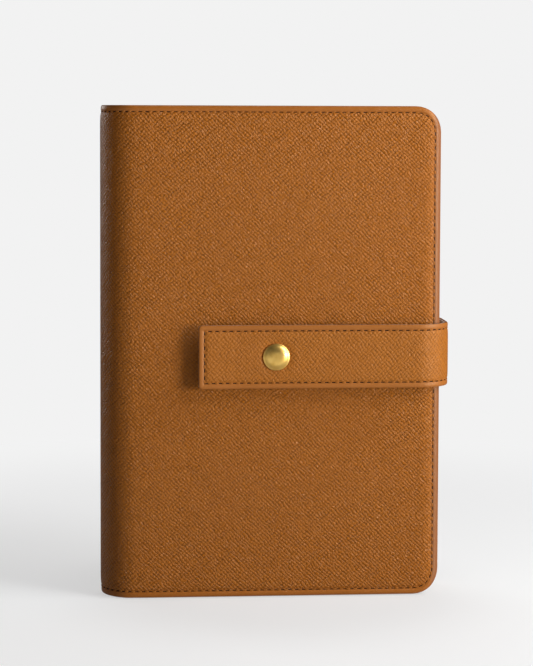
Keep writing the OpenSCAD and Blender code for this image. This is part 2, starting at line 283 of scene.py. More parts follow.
def rounded(u, v, low_u, high_u, low_v, high_v, radius, rows, open_low=False, open_high=False):
    """Turns a place on a square-cornered sheet into one on a rounded outline, and its inset and height.
    rows hold the flat inset, the finished inset and the height under the face."""
    core_u = min(max(u, low_u + (0 if open_low else radius)), high_u - (0 if open_high else radius))
    core_v = min(max(v, low_v + radius), high_v - radius)
    du, dv = u - core_u, v - core_v
    if open_low and u < low_u:
        du = 0
    most = max(abs(du), abs(dv))
    if most < 1e-9:
        return u, v, radius, rows[-1][2]
    inset, height = between(radius - most, rows)
    far = math.hypot(du, dv)
    return core_u + du / far * (radius - inset), core_v + dv / far * (radius - inset), inset, height


# Finishes


def feed(tree, made, inputs):
    """Fills a node's inputs. An input is a number, a colour or another node's socket."""
    for key, value in inputs.items():
        if isinstance(value, bpy.types.NodeSocket):
            tree.links.new(value, made.inputs[key])
        else:
            made.inputs[key].default_value = value


def node(tree, kind, inputs=None, **settings):
    """Adds a shader node."""
    made = tree.nodes.new("ShaderNode" + kind)
    for key, value in settings.items():
        setattr(made, key, value)
    feed(tree, made, inputs or {})
    return made


def noise(tree, place, scale, detail, **more):
    """Soft noise, from 0 to 1."""
    inputs = {"Vector": place, "Scale": scale, "Detail": detail, **more}
    return node(tree, "TexNoise", inputs).outputs["Fac"]


def wave(tree, place, scale, way="X", **more):
    """Even bands across one axis, from 0 to 1."""
    inputs = {"Vector": place, "Scale": scale, **more}
    return node(tree, "TexWave", inputs, bands_direction=way).outputs["Fac"]


def mapped(tree, place, **change):
    """Places turned or stretched."""
    return node(tree, "Mapping", {"Vector": place, **change}).outputs[0]


def axis(tree, place, name):
    """One of a place's three measures."""
    return node(tree, "SeparateXYZ", {0: place}).outputs[name]


def vector(tree, operation, first, second, out=0):
    """One step of vector arithmetic. second is a factor for SCALE."""
    inputs = {0: first, 3 if operation == "SCALE" else 1: second}
    return node(tree, "VectorMath", inputs, operation=operation).outputs[out]


def math_node(tree, operation, first, second=0.0, third=0.0):
    """One step of arithmetic."""
    return node(tree, "Math", {0: first, 1: second, 2: third}, operation=operation).outputs[0]


def span(tree, value, low, high, to_low, to_high, smooth_step=False):
    """Maps one range of numbers on another."""
    inputs = {"Value": value, "From Min": low, "From Max": high, "To Min": to_low, "To Max": to_high}
    kind = "SMOOTHSTEP" if smooth_step else "LINEAR"
    return node(tree, "MapRange", inputs, interpolation_type=kind).outputs[0]


def mix(tree, factor, first, second):
    """A colour between two colours."""
    return node(tree, "Mix", {"Factor": factor, 6: first, 7: second}, data_type="RGBA").outputs[2]


def tint(tree, tone, other, by, low, high, most=1):
    """Turns a colour towards another as a number rises from low to high."""
    return mix(tree, span(tree, by, low, high, 0, most), tone, other)


def shade(rgb, red=1.0, green=None, blue=None):
    """A colour made darker or lighter, by one factor or by three."""
    green = red if green is None else green
    blue = red if blue is None else blue
    return (rgb[0] * red, rgb[1] * green, rgb[2] * blue, 1.0)


def start(name):
    """An empty material with its shader and output."""
    material = bpy.data.materials.new(name)
    material.use_nodes = True
    tree = material.node_tree
    tree.nodes.clear()
    shader = tree.nodes.new("ShaderNodeBsdfPrincipled")
    output = tree.nodes.new("ShaderNodeOutputMaterial")
    tree.links.new(shader.outputs[0], output.inputs["Surface"])
    return material, tree, shader


def on_sheet(tree):
    """Places on the flat sheet, in millimetres."""
    flat = node(tree, "UVMap", uv_map="Sheet").outputs[0]
    return vector(tree, "MULTIPLY", flat, (100, 100, 100))


def in_piece(tree):
    """Places in the piece, in metres."""
    return node(tree, "TexCoord").outputs["Object"]


def set_shader(tree, shader, tone, rough, normal):
    """Gives a shader its varying colour, roughness and relief."""
    feed(tree, shader, {"Base Color": tone, "Roughness": rough, "Normal": normal})


def bump(tree, height, strength, distance, **under):
    """Relief from a height, over the relief already there."""
    inputs = {"Height": height, "Strength": strength, "Distance": distance, **under}
    return node(tree, "Bump", inputs).outputs[0]


CREASES = {"Distortion": 0.35, "Detail": 1.0, "Detail Scale": 0.8}


def leather(name, rgb, turn, gloss=0.29, deep=0.52, relief=0.00058, painted_fore_shade=None):
    """Crosshatch-grained leather: two slanting sets of creases, small pebbles and a smooth rim.
    The creases are partly painted shade, and the rim is less saturated with a partly painted sheen.
    The fore-edge argument is how far along the sheet, in millimetres, the fore edge lies;
    the last few millimetres before it get painted shade and a paler painted sheen."""
    material, tree, shader = start(name)
    place = on_sheet(tree)
    near = node(tree, "Attribute", attribute_name="rim").outputs["Fac"]
    waver = node(tree, "TexNoise", {"Vector": place, "Scale": 0.28, "Detail": 2.0}).outputs["Color"]
    waver = vector(tree, "SCALE", vector(tree, "SUBTRACT", waver, (0.5, 0.5, 0.5)), 1.9)
    bent = vector(tree, "ADD", place, waver)
    sets = []
    for angle, period in ((turn, 1.36), (turn + 94, 1.62)):
        turned = mapped(tree, bent, Rotation=(0, 0, math.radians(angle)))
        band = wave(tree, turned, 2 * math.pi / 20 / period, **CREASES)
        sets.append(span(tree, band, 0.05, 0.62, 0, 1, True))
    weak = span(tree, noise(tree, place, 0.33, 1.0), 0.36, 0.64, 0.55, 1.0)
    broken = span(tree, noise(tree, place, 0.42, 1.0), 0.40, 0.60, 0.45, 1.0)
    first, second = [math_node(tree, "MULTIPLY_ADD", math_node(tree, "SUBTRACT", lines, 1.0), kept, 1.0)
                     for lines, kept in zip(sets, (weak, broken))]
    cells = node(tree, "TexVoronoi", {"Vector": bent, "Scale": 0.78, "Randomness": 0.85},
                 feature="DISTANCE_TO_EDGE").outputs["Distance"]
    cells = span(tree, cells, 0.0, 0.22, 0, 1, True)
    fine = noise(tree, place, 5.0, 3.0)
    height = math_node(tree, "MULTIPLY", first, 0.38)
    for part, share in ((second, 0.36), (cells, 0.26), (fine, 0.10)):
        height = math_node(tree, "MULTIPLY_ADD", part, share, height)
    plain = math_node(tree, "MULTIPLY_ADD", fine, 0.16, 0.82)
    mask = span(tree, near, 0.15, 0.85, 0, 0.88, True)
    height = node(tree, "Mix", {"Factor": mask, "A": height, "B": plain}).outputs[0]
    worn = noise(tree, place, 0.035, 4.0)
    cloudy = noise(tree, place, 0.14, 3.0)
    # Darker creases: partly the leather's own tone in its grain, partly painted shade that adds the
    # contrast light gives the grain
    tone = tint(tree, shade(rgb, deep), shade(rgb, 1.10), height, 0.25, 0.95)
    tone = tint(tree, tone, shade(rgb, 0.86, 0.82, 0.76), worn, 0.3, 0.7, 0.42)
    tone = tint(tree, tone, shade(rgb, 1.14, 1.16, 1.25), cloudy, 0.40, 0.75, 0.25)
    # Less saturated rim outside the seam: partly the smooth turned edge's own tone, partly a painted
    # sheen where light catches the rounded edge
    tone = tint(tree, tone, shade(rgb, 0.86, 0.94, 2.6), near, 0.2, 1.0, 0.55)
    # Painted shade, with a paler painted sheen, along the fore edge over the stitch groove and the outer
    # rim
    if painted_fore_shade is not None:
        fore_shade = span(tree, axis(tree, place, "X"), painted_fore_shade - 4.2, painted_fore_shade - 2.6, 0, 0.6, True)
        tone = mix(tree, fore_shade, tone, shade(rgb, 0.55, 0.72, 5.0))
    rough = span(tree, height, 0.2, 1.0, gloss + 0.22, gloss)
    uneven = span(tree, cloudy, 0.3, 0.7, -0.5, 0.5)
    rough = math_node(tree, "MULTIPLY_ADD", uneven, 0.07, rough)
    wide = bump(tree, noise(tree, place, 0.09, 2.0), 0.5, 0.0009)
    set_shader(tree, shader, tone, rough, bump(tree, height, 1.0, relief, Normal=wide))
    shader.inputs["Specular IOR Level"].default_value = 0.42
    shader.inputs["Specular Tint"].default_value = (1.0, 0.86, 0.62, 1.0)
    return material


def suede(name, rgb):
    """Matt sueded leather with a fine nap and lighter brushed patches."""
    material, tree, shader = start(name)
    place = on_sheet(tree)
    nap = noise(tree, place, 3.2, 5.0, Roughness=0.7)
    brushed = noise(tree, place, 0.07, 4.0, Distortion=0.6)
    tone = tint(tree, shade(rgb, 0.72), shade(rgb, 1.15), nap, 0.3, 0.7)
    tone = tint(tree, tone, shade(rgb, 1.45), brushed, 0.42, 0.62, 0.5)
    rough = span(tree, nap, 0.3, 0.7, 0.96, 0.82)
    set_shader(tree, shader, tone, rough, bump(tree, nap, 0.7, 0.00015))
    shader.inputs["Sheen Weight"].default_value = 0.35
    return material


def metal(name, rgb, rough, stretch=(1, 1, 1)):
    """Polished metal with fine scratches and dulled patches."""
    material, tree, shader = start(name)
    place = mapped(tree, in_piece(tree), Scale=stretch)
    patch = noise(tree, place, 420.0, 4.0)
    scratch = noise(tree, place, 2600.0, 3.0)
    dull = shade(rgb, 0.86, 0.80, 0.66)
    tone = tint(tree, shade(rgb), dull, patch, 0.35, 0.7)
    rough = span(tree, patch, 0.3, 0.7, rough, rough + 0.12)
    set_shader(tree, shader, tone, rough, bump(tree, scratch, 0.10, 0.00004))
    shader.inputs["Metallic"].default_value = 1.0
    return material


def yarn(name, rgb):
    """Waxed, twisted thread."""
    material, tree, shader = start(name)
    place = in_piece(tree)
    ply = wave(tree, mapped(tree, place, Rotation=(0.6, 0.7, 0.6)), 700.0, Distortion=1.5)
    fuzz = noise(tree, place, 900.0, 2.0)
    tone = mix(tree, ply, shade(rgb, 0.70), shade(rgb, 1.2))
    tone = tint(tree, tone, shade(rgb, 0.55), fuzz, 0.35, 0.65, 0.5)
    rough = span(tree, fuzz, 0.3, 0.7, 0.55, 0.75)
    set_shader(tree, shader, tone, rough, bump(tree, ply, 0.6, 0.0001))
    shader.inputs["Specular IOR Level"].default_value = 0.2
    return material


def dark_hole(name, rgb):
    """Near-black painted shade for the inside of a stitch hole, torn and uneven."""
    material, tree, shader = start(name)
    torn = noise(tree, in_piece(tree), 1500.0, 3.0)
    tone = tint(tree, shade(rgb, 0.7), shade(rgb, 1.8), torn, 0.3, 0.7)
    rough = span(tree, torn, 0.3, 0.7, 0.8, 0.98)
    set_shader(tree, shader, tone, rough, bump(tree, torn, 0.5, 0.0001))
    shader.inputs["Specular IOR Level"].default_value = 0.1
    return material


def layered(name, rgb, scale, deep, strength, flat=1.0):
    """Paper, card or foam. scale stretches the pattern, so that a block of sheets shows its
    layers at its edges, and flat is how much of it shows on the block's faces."""
    material, tree, shader = start(name)
    place = in_piece(tree)
    sheets = noise(tree, mapped(tree, place, Scale=scale), 1.0, 3.0, Roughness=0.6)
    cloudy = noise(tree, place, 28.0, 3.0)
    facing = axis(tree, node(tree, "TexCoord").outputs["Normal"], "Y")
    edge_on = span(tree, math_node(tree, "ABSOLUTE", facing), 0.3, 0.9, 1, flat)
    sheets = node(tree, "Mix", {"Factor": edge_on, "A": 0.62, "B": sheets}).outputs[0]
    tone = tint(tree, shade(rgb, deep), shade(rgb, 1.08), sheets, 0.36, 0.62)
    tone = tint(tree, tone, shade(rgb, 0.92, 0.86, 0.76), cloudy, 0.4, 0.7, 0.3)
    rough = span(tree, cloudy, 0.3, 0.7, 0.82, 0.94)
    set_shader(tree, shader, tone, rough, bump(tree, sheets, strength, 0.0002))
    return material


def woven(name, rgb):
    """Plain woven book cloth."""
    material, tree, shader = start(name)
    place = in_piece(tree)
    threads = [wave(tree, place, 520.0, way, Distortion=0.4, Detail=1.0) for way in ("X", "Z", "Y")]
    weave = math_node(tree, "MAXIMUM", math_node(tree, "MAXIMUM", threads[0], threads[1]), threads[2])
    slub = noise(tree, place, 160.0, 3.0)
    tone = mix(tree, weave, shade(rgb, 0.5), shade(rgb, 1.5))
    tone = tint(tree, tone, shade(rgb, 2.6), slub, 0.5, 0.75, 0.5)
    rough = span(tree, slub, 0.3, 0.7, 0.75, 0.92)
    set_shader(tree, shader, tone, rough, bump(tree, weave, 0.5, 0.0001))
    return material


def striped(name, rgb):
    """Headband cloth with fine stripes."""
    material, tree, shader = start(name)
    place = in_piece(tree)
    stripe = wave(tree, place, 160.0, "Y")
    fuzz = noise(tree, place, 900.0, 2.0)
    tone = tint(tree, shade(rgb), shade((0.30, 0.07, 0.03)), stripe, 0.4, 0.6)
    rough = span(tree, fuzz, 0.3, 0.7, 0.7, 0.9)
    set_shader(tree, shader, tone, rough, bump(tree, stripe, 0.5, 0.0002))
    return material


def give(piece, *materials):
    """Puts materials in a piece's slots, in place of what it has."""
    piece.data.materials.clear()
    for material in materials:
        piece.data.materials.append(material)


def finish(name):
    """Finds a finish made by the Finishes operator."""
    found = bpy.data.materials.get(name)
    if found is None:
        raise RuntimeError("the finishes are made first")
    return found


class COVER_OT_finishes(bpy.types.Operator):
    """Makes every leather, thread, metal and paper finish"""
    bl_idname = "cover.finishes"
    bl_label = "Finishes"

    def execute(self, context):
        tints = context.scene.cover_colours
        leather("cover_leather", tints.leather, -45, painted_fore_shade=REACH / MM)
        leather("band_leather", tints.strap, 45, gloss=0.42, deep=0.62, relief=0.00030)
        leather("pocket_leather", tints.leather, -45, gloss=0.44)
        suede("sueded_lining", tints.lining)
        yarn("waxed_thread", tints.thread)
        dark_hole("painted_hole_shade", tints.hole)
        metal("worn_brass", tints.brass, 0.30)
        metal("spring_wire", tints.steel, 0.22, (1, 6, 1))
        layered("sheet_edges", tints.page, (60, 5200, 60), 0.62, 0.8, flat=0.12)
        layered("endpaper", tints.page, (900, 900, 900), 0.92, 0.25)
        layered("grey_card", tints.card, (700, 2600, 700), 0.80, 0.4)
        layered("foam_pad", tints.foam, (1400, 1400, 1400), 0.70, 0.9)
        woven("book_cloth", tints.cloth)
        striped("headband_cloth", tints.page)
        return {"FINISHED"}


# The outer leather


def form(name, across, up, place, flip, skin, look, angle=40):
    """A flat sheet moved to its shape, with its thickness and its finish.
    place gives a point, its place in the grain and how near the rim it is."""
    sheet = grid(name, across, up)
    mesh = sheet.data
    grain = mesh.uv_layers.active or mesh.uv_layers.new(name="Sheet")
    grain.name = "Sheet"
    rim = mesh.attributes.new("rim", "FLOAT", "POINT")
    found = [place(vertex.co.x, vertex.co.z) for vertex in mesh.vertices]
    for vertex, (point, _, near) in zip(mesh.vertices, found):
        vertex.co = point
        rim.data[vertex.index].value = near
    for corner in mesh.loops:
        u, v = found[corner.vertex_index][1]
        grain.data[corner.index].uv = (u * 10, v * 10)
    if flip:
        edit(sheet, bpy.ops.mesh.flip_normals)
    finish_with(sheet, "SOLIDIFY", thickness=skin, offset=-1)
    smooth(sheet, angle)
    give(sheet, finish(look))
    return sheet


def skin_rows(sizes):
    """The edge of the cover's leather, from the turned-in end to the padded middle, as rows of
    flat inset, inset and depth."""
    seam, groove, puff = sizes.seam / MM, sizes.groove / MM, sizes.puff / MM
    turned = [(-6.9, 5.0, 3.5), (-5.2, 3.4, 3.5), (-3.6, 1.8, 3.47), (-2.7, 0.95, 3.36),
              (-2.1, 0.45, 3.1), (-1.6, 0.16, 2.7), (-1.1, 0.02, 2.2), (-0.6, 0.0, 1.6),
              (-0.2, 0.04, 1.1), (0.15, 0.2, 0.68), (0.5, 0.46, 0.36), (0.85, 0.82, 0.13)]
    return in_metres(turned + level(
        (1.25, 0.02), (1.7, -0.03), (seam - 0.85, 0.02), (seam - 0.5, groove * 0.45),
        (seam - 0.2, groove * 0.95), (seam + 0.2, groove * 0.95), (seam + 0.55, groove * 0.4),
        (seam + 0.95, -0.03), (seam + 1.5, -puff * 0.4), (seam + 2.4, -puff * 0.68),
        (seam + 4.0, -puff * 0.88), (seam + 6.5, -puff), (12.0, -puff)))


def panel_share(u):
    """Rises from 0 on the spine to 1 on the panel."""
    return ease(u, QUARTER - 4 * MM, QUARTER + 0.2 * MM)


def edge_depth(u, sizes):
    """Thickness of the turned edge, which grows from the spine to the panel."""
    return sizes.spine_depth + (sizes.rim_depth - sizes.spine_depth) * panel_share(abs(u))


def roll_depth(x, sizes):
    """How far the face curves back near the fore edge."""
    begin = FORE - math.sqrt(sizes.roll ** 2 - (sizes.roll - ROLL_DEPTH) ** 2)
    if x <= begin:
        return 0.0
    return sizes.roll - math.sqrt(max(0.0, sizes.roll ** 2 - (x - begin) ** 2))


def shoulder(u):
    """How far the face falls away beside the spine, where the padding thins out."""
    if u < QUARTER - SHOULDER_REACH:
        return SHOULDER_DEPTH * ease(u, 0, QUARTER / 2)
    return SHOULDER_DEPTH * (1 - ease(u, QUARTER - SHOULDER_REACH, QUARTER + SHOULDER_REACH))


def on_cover(u, z, depth, side):
    """A point on the cover. u runs from the middle of the spine to the fore edge, depth goes in
    from its face, and side is -1 for the front panel and 1 for the back panel."""
    if u < QUARTER:
        angle = u / HALF
        radius = HALF - depth
        return Vector((CREASE - radius * math.cos(angle), MIDDLE + side * radius * math.sin(angle), z))
    return Vector((CREASE + u - QUARTER, MIDDLE + side * (HALF - depth), z))


def skin_place(sizes, side):
    """Where each place of the flat leather ends up."""
    rows = skin_rows(sizes)

    def place(u, z):
        at, up, inset, depth = rounded(u, z, 0, REACH, 0, TALL, sizes.corner, rows, open_low=True)
        thick = edge_depth(at, sizes)
        rolled = roll_depth(CREASE + at - QUARTER, sizes) + shoulder(at)
        if depth > 0:
            depth = rolled + depth * (thick - rolled) / sizes.rim_depth
        else:
            depth = rolled + depth
        near = 1 - ease(inset, sizes.seam - 0.3 * MM, sizes.seam + 0.9 * MM)
        return on_cover(at, up, depth, side), (at, up), near

    return place


def bands(rows, low, high, gap, low_open=False, middle=()):
    """Columns or rows of a flat sheet: close together in its edges and wide apart between them."""
    inner = [row[0] for row in rows]
    start = [low] if low_open else [low + x for x in inner]
    end = [high - x for x in reversed(inner)]
    filling = steps(start[-1], end[0], gap)[1:]
    if middle:
        filling = [x for x in filling if x > middle[1]]
        filling = steps(middle[0], middle[1], middle[2])[1:] + [middle[1]] + filling
    return start + filling + end


def fold_front(piece):
    """Makes a piece's place part of its mesh; it does not bend the piece."""
    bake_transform(piece)


def fold_back(piece):
    """Makes a piece's place part of its mesh; it does not bend the piece."""
    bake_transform(piece)


SIDES = (("front", -1, fold_front), ("back", 1, fold_back))


class COVER_OT_skin(bpy.types.Operator):
    """Shapes the padded outer leather, one piece for each panel and its half of the spine"""
    bl_idname = "cover.skin"
    bl_label = "Outer leather"

    def execute(self, context):
        sizes = context.scene.cover_sizes
        rows = skin_rows(sizes)
        across = bands(rows, 0, REACH, 4 * MM, low_open=True, middle=(0, QUARTER + 3 * MM, 0.9 * MM))
        up = bands(rows, 0, TALL, 5 * MM)
        for name, side, fold in SIDES:
            skin = form(name + "_skin", across, up, skin_place(sizes, side), side > 0, sizes.skin,
                        "cover_leather", 60)
            fold(skin)
            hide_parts(name + "_leather", *(["spine_leather"] if side < 0 else []))
        return {"FINISHED"}


# The seams


def thread_mould():
    """One stitch of thread, lying along X, and at its end a small dark disk whose finish is painted shade
    for the punched hole.
    """
    bpy.ops.mesh.primitive_uv_sphere_add(segments=8, ring_count=6, radius=1)
    thread = bpy.context.object
    thread.name = "one_stitch"
    edit(thread, bpy.ops.transform.rotate, value=math.pi / 2, orient_axis="Y",
         center_override=(0, 0, 0))
    edit(thread, bpy.ops.transform.resize, value=(0.98 * MM, 0.40 * MM, 0.36 * MM))
    give(thread, finish("waxed_thread"))
    # The hole is a shallow disk; its near-black finish is painted shade, not a real opening
    bpy.ops.mesh.primitive_cylinder_add(vertices=10, radius=1, depth=1)
    hole = bpy.context.object
    hole.name = "one_hole"
    edit(hole, bpy.ops.transform.resize, value=(1.02 * MM, 0.76 * MM, 0.5 * MM))
    pick(hole, "FACE", lambda face: face.normal.z > 0.9)
    bpy.ops.mesh.inset(thickness=0.10 * MM)
    bpy.ops.transform.translate(value=(0, 0, -0.05 * MM))
    mode("OBJECT")
    give(hole, finish("painted_hole_shade"))
    return thread, hole


def sew(name, spots, moulds):
    """Copies the moulds along a seam. A spot is a mould's number, a point, the seam's direction
    and the leather's normal there."""
    pieces = []
    for kind, point, along, out in spots:
        along = along.normalized()
        out = (out - along * out.dot(along)).normalized()
        across = out.cross(along)
        turn = (THREAD_SLANT, HOLE_SLANT)[kind]
        first = along * math.cos(turn) + across * math.sin(turn)
        copy = moulds[kind].copy()
        copy.data = moulds[kind].data.copy()
        bpy.context.scene.collection.objects.link(copy)
        matrix = Matrix((first, out.cross(first), out)).transposed().to_4x4()
        matrix.translation = point + out * (THREAD_RISE, HOLE_RISE)[kind]
        copy.matrix_world = matrix
        pieces.append(copy)
    seam = join(name, pieces)
    smooth(seam, 50)
    return seam


def measure(line):
    """How far along a line each of its points is."""
    lengths = [0.0]
    for a, b in zip(line, line[1:]):
        lengths.append(lengths[-1] + math.dist(a, b))
    return lengths


def walk(line, pitch):
    """Threads and holes in turn along a line of flat points, with the line's direction at each."""
    lengths = measure(line)
    count = max(1, round(lengths[-1] / pitch))
    found = []
    for k in range(2 * count):
        far = (k / 2 + 0.25) * lengths[-1] / count
        index = max(i for i, x in enumerate(lengths[:-1]) if x <= far)
        t = (far - lengths[index]) / (lengths[index + 1] - lengths[index])
        a, b = line[index], line[index + 1]
        across, up = b[0] - a[0], b[1] - a[1]
        found.append((k % 2, a[0] + across * t, a[1] + up * t, across, up))
    return found


def spots_on(place, marks):
    """Stands each mark of a flat seam on a shaped sheet."""
    spots = []
    tiny = 0.1 * MM
    for kind, u, v, du, dv in marks:
        far = math.hypot(du, dv)
        du, dv = du / far, dv / far
        point = place(u, v)
        along = place(u + du * tiny, v + dv * tiny) - point
        beside = place(u - dv * tiny, v + du * tiny) - point
        spots.append((kind, point, along, along.cross(beside)))
    return spots


def arc(centre_u, centre_v, radius, begin, end, count=12):
    """Points of an arc, from one angle to another in degrees."""
    turns = [math.radians(begin + (end - begin) * k / count) for k in range(count + 1)]
    return [(centre_u + radius * math.cos(turn), centre_v + radius * math.sin(turn)) for turn in turns]


class COVER_OT_seams(bpy.types.Operator):
    """Sews the seam round each panel and its half of the spine"""
    bl_idname = "cover.seams"
    bl_label = "Cover seams"

    def execute(self, context):
        sizes = context.scene.cover_sizes
        moulds = thread_mould()
        inner = sizes.corner - sizes.seam
        line = [(0, sizes.seam)] + arc(REACH - sizes.corner, sizes.corner, inner, -90, 0)
        line += arc(REACH - sizes.corner, TALL - sizes.corner, inner, 0, 90) + [(0, TALL - sizes.seam)]
        for name, side, fold in SIDES:

            def place(u, z):
                rolled = roll_depth(CREASE + u - QUARTER, sizes) + shoulder(u)
                deep = rolled + sizes.groove * (edge_depth(u, sizes) - rolled) / sizes.rim_depth
                point = on_cover(max(u, 0), z, deep, side)
                if u < 0:
                    point.y -= side * -u
                return point

            spots = spots_on(place, walk(line, sizes.pitch))
            if side > 0:
                spots = [(kind, point, along, -out) for kind, point, along, out in spots]
            seam = sew(name + "_seam", spots, moulds)
            fold(seam)
            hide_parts(name + "_stitching", *(["spine_stitching"] if side < 0 else []))
        for mould in moulds:
            bpy.data.objects.remove(mould)
        return {"FINISHED"}


# The strap


def strap_line(sizes):
    """The strap's outer face from its free end round to its sewn end, as many short lengths."""
    side = SIDE_HIGH.x + STRAP_GAP
    begin = side - sizes.bend_wide
    face = FLAP_LOW.y
    points = [(FLAP_LOW.x, face), (begin, face)]
    for k in range(1, FRONT_PARTS + 1):
        turn = math.pi / 2 * k / FRONT_PARTS
        points.append((begin + sizes.bend_wide * math.sin(turn),
                       face + sizes.bend_deep * (1 - math.cos(turn))))
    points += arc(side - BACK_BEND, TAB_HIGH.y - BACK_BEND, BACK_BEND, 0, 90, BACK_PARTS)
    points.append((TAB_LOW.x, TAB_HIGH.y))
    return points, measure(points)


def on_strap(sizes, points, lengths):
    """A function that stands a place of the flat strap on its line."""

    def at(s):
        index = 0
        while index < len(lengths) - 2 and lengths[index + 1] <= s:
            index += 1
        a, b = points[index], points[index + 1]
        t = (s - lengths[index]) / (lengths[index + 1] - lengths[index])
        return Vector((a[0] + (b[0] - a[0]) * t, a[1] + (b[1] - a[1]) * t, 0))

    def place(s, w, depth=0.0):
        ahead, behind = at(s + 0.8 * MM), at(s - 0.8 * MM)
        along = (ahead - behind).normalized()
        out = Vector((along.y, -along.x, 0))
        curl = max(0.0, 1 - s / CURL_LENGTH)
        point = at(s) - out * depth
        point.y -= sizes.lift * curl * curl
        point.z = STRAP_Z + w
        return point

    return place


def strap_rows(sizes):
    """The strap's edge: flat inset, inset, depth."""
    seam = sizes.strap_seam / MM
    cut = [(0.0, 0.03, 0.45), (0.15, 0.08, 0.27), (0.35, 0.24, 0.12), (0.65, 0.6, 0.03)]
    return in_metres(cut + level(
        (1.1, -0.02), (seam - 0.8, 0.0), (seam - 0.5, 0.14), (seam - 0.2, STRAP_GROOVE),
        (seam + 0.2, STRAP_GROOVE), (seam + 0.5, 0.14), (seam + 0.9, 0.0), (seam + 1.6, -0.07),
        (seam + 3.0, -0.12), (8.0, -0.14)))


def strap_outline(s, w, length, rows):
    """Rounds the strap's four corners a little and gives the inset and depth of a place."""
    inset_s = min(s, length - s)
    inset_w = STRAP_HALF - abs(w)
    inset, depth = between(min(inset_s, inset_w), rows)
    sign_w = 1 if w > 0 else -1
    if max(inset_s, inset_w) < STRAP_CORNER:
        du, dv = STRAP_CORNER - inset_s, STRAP_CORNER - inset_w
        share = max(du, dv) / math.hypot(du, dv)
        inset_s, inset_w = STRAP_CORNER - du * share, STRAP_CORNER - dv * share
    inset_s += max(0.0, inset - min(inset_s, inset_w)) if inset_s < inset_w else 0
    inset_w += max(0.0, inset - min(inset_s, inset_w)) if inset_w <= inset_s else 0
    at = inset_s if s < length / 2 else length - inset_s
    return at, sign_w * (STRAP_HALF - inset_w), inset, depth


def fold_flap(piece):
    """Makes a piece's place part of its mesh; it does not bend the piece."""
    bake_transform(piece)


def fold_tab(piece):
    """Makes a piece's place part of its mesh; it does not bend the piece."""
    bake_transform(piece)


def strap_parts(lengths):
    """The strap's two stretches: name, first and last place along it, and the step that makes its place
    part of its mesh.
    They meet half way along the strap's side."""
    middle = (lengths[1 + FRONT_PARTS] + lengths[2 + FRONT_PARTS]) / 2
    return (("strap_front", 0.0, middle, fold_flap), ("strap_back", middle, lengths[-1], fold_tab))


class COVER_OT_strap(bpy.types.Operator):
    """Shapes the strap's leather and lining and sews them together"""
    bl_idname = "cover.strap"
    bl_label = "Strap"

    def execute(self, context):
        sizes = context.scene.cover_sizes
        points, lengths = strap_line(sizes)
        place = on_strap(sizes, points, lengths)
        rows = strap_rows(sizes)
        length = lengths[-1]
        inner = [row[0] for row in rows]
        high = [STRAP_HALF - x for x in reversed(inner)]
        low = [-x for x in reversed(high)]
        up = low + steps(low[-1], high[0], 1.4 * MM)[1:] + high
        snap = SNAP_X - FLAP_LOW.x
        moulds = thread_mould()
        inset = sizes.strap_seam
        for name, begin, end, fold in strap_parts(lengths):
            if begin == 0:
                across = inner + steps(inner[-1], end, 1.1 * MM)[1:] + [end]
            else:
                across = [begin] + steps(begin, end - inner[-1], 1.1 * MM)[1:]
                across += [end - x for x in reversed(inner)]

            def leather_place(s, w):
                s, w, near, depth = strap_outline(s, w, length, rows)
                from_snap = math.hypot(s - snap, w)
                depth += SNAP_DENT * (1 - ease(from_snap, 6.3 * MM, 8.1 * MM))
                rim = 1 - ease(near, inset - 0.5 * MM, inset + 0.8 * MM)
                return place(s, w, depth), (s + 0.31, w + 0.11), rim

            def under_place(s, w):
                s, w = strap_outline(s, w, length, [(0, 0.12 * MM, 0), (1 * MM, 1 * MM, 0)])[:2]
                return place(s, w, STRAP_LINING_DEPTH), (s, w), 0.0

            face = form(name + "_face", across, up, leather_place, False, sizes.strap_skin,
                        "band_leather")
            under = form(name + "_lining", across, up, under_place, False, sizes.strap_lining,
                         "sueded_lining")
            edge = STRAP_HALF - inset
            if begin == 0:
                turns = [(end, -edge), (inset, -edge), (inset, edge), (end, edge)]
            else:
                turns = [(begin, edge), (end - inset, edge), (end - inset, -edge), (begin, -edge)]
            marks = [mark for ends in zip(turns, turns[1:]) for mark in walk(ends, sizes.pitch)]
            spots = spots_on(lambda s, w: place(s, w, STRAP_GROOVE * MM), marks)
            seam = sew(name + "_seam", spots, moulds)
            nodes = ("strap_flap", "strap_side") if begin == 0 else ("strap_tab",)
            for piece, ending, slot in ((face, "_leather", "strap_leather"),
                                        (under, "_lining", "lining_leather"),
                                        (seam, "_stitching", "seam_thread")):
                fold(piece)
                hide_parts(*[stretch + ending for stretch in nodes])
        for mould in moulds:
            bpy.data.objects.remove(mould)
        return {"FINISHED"}


# The snap


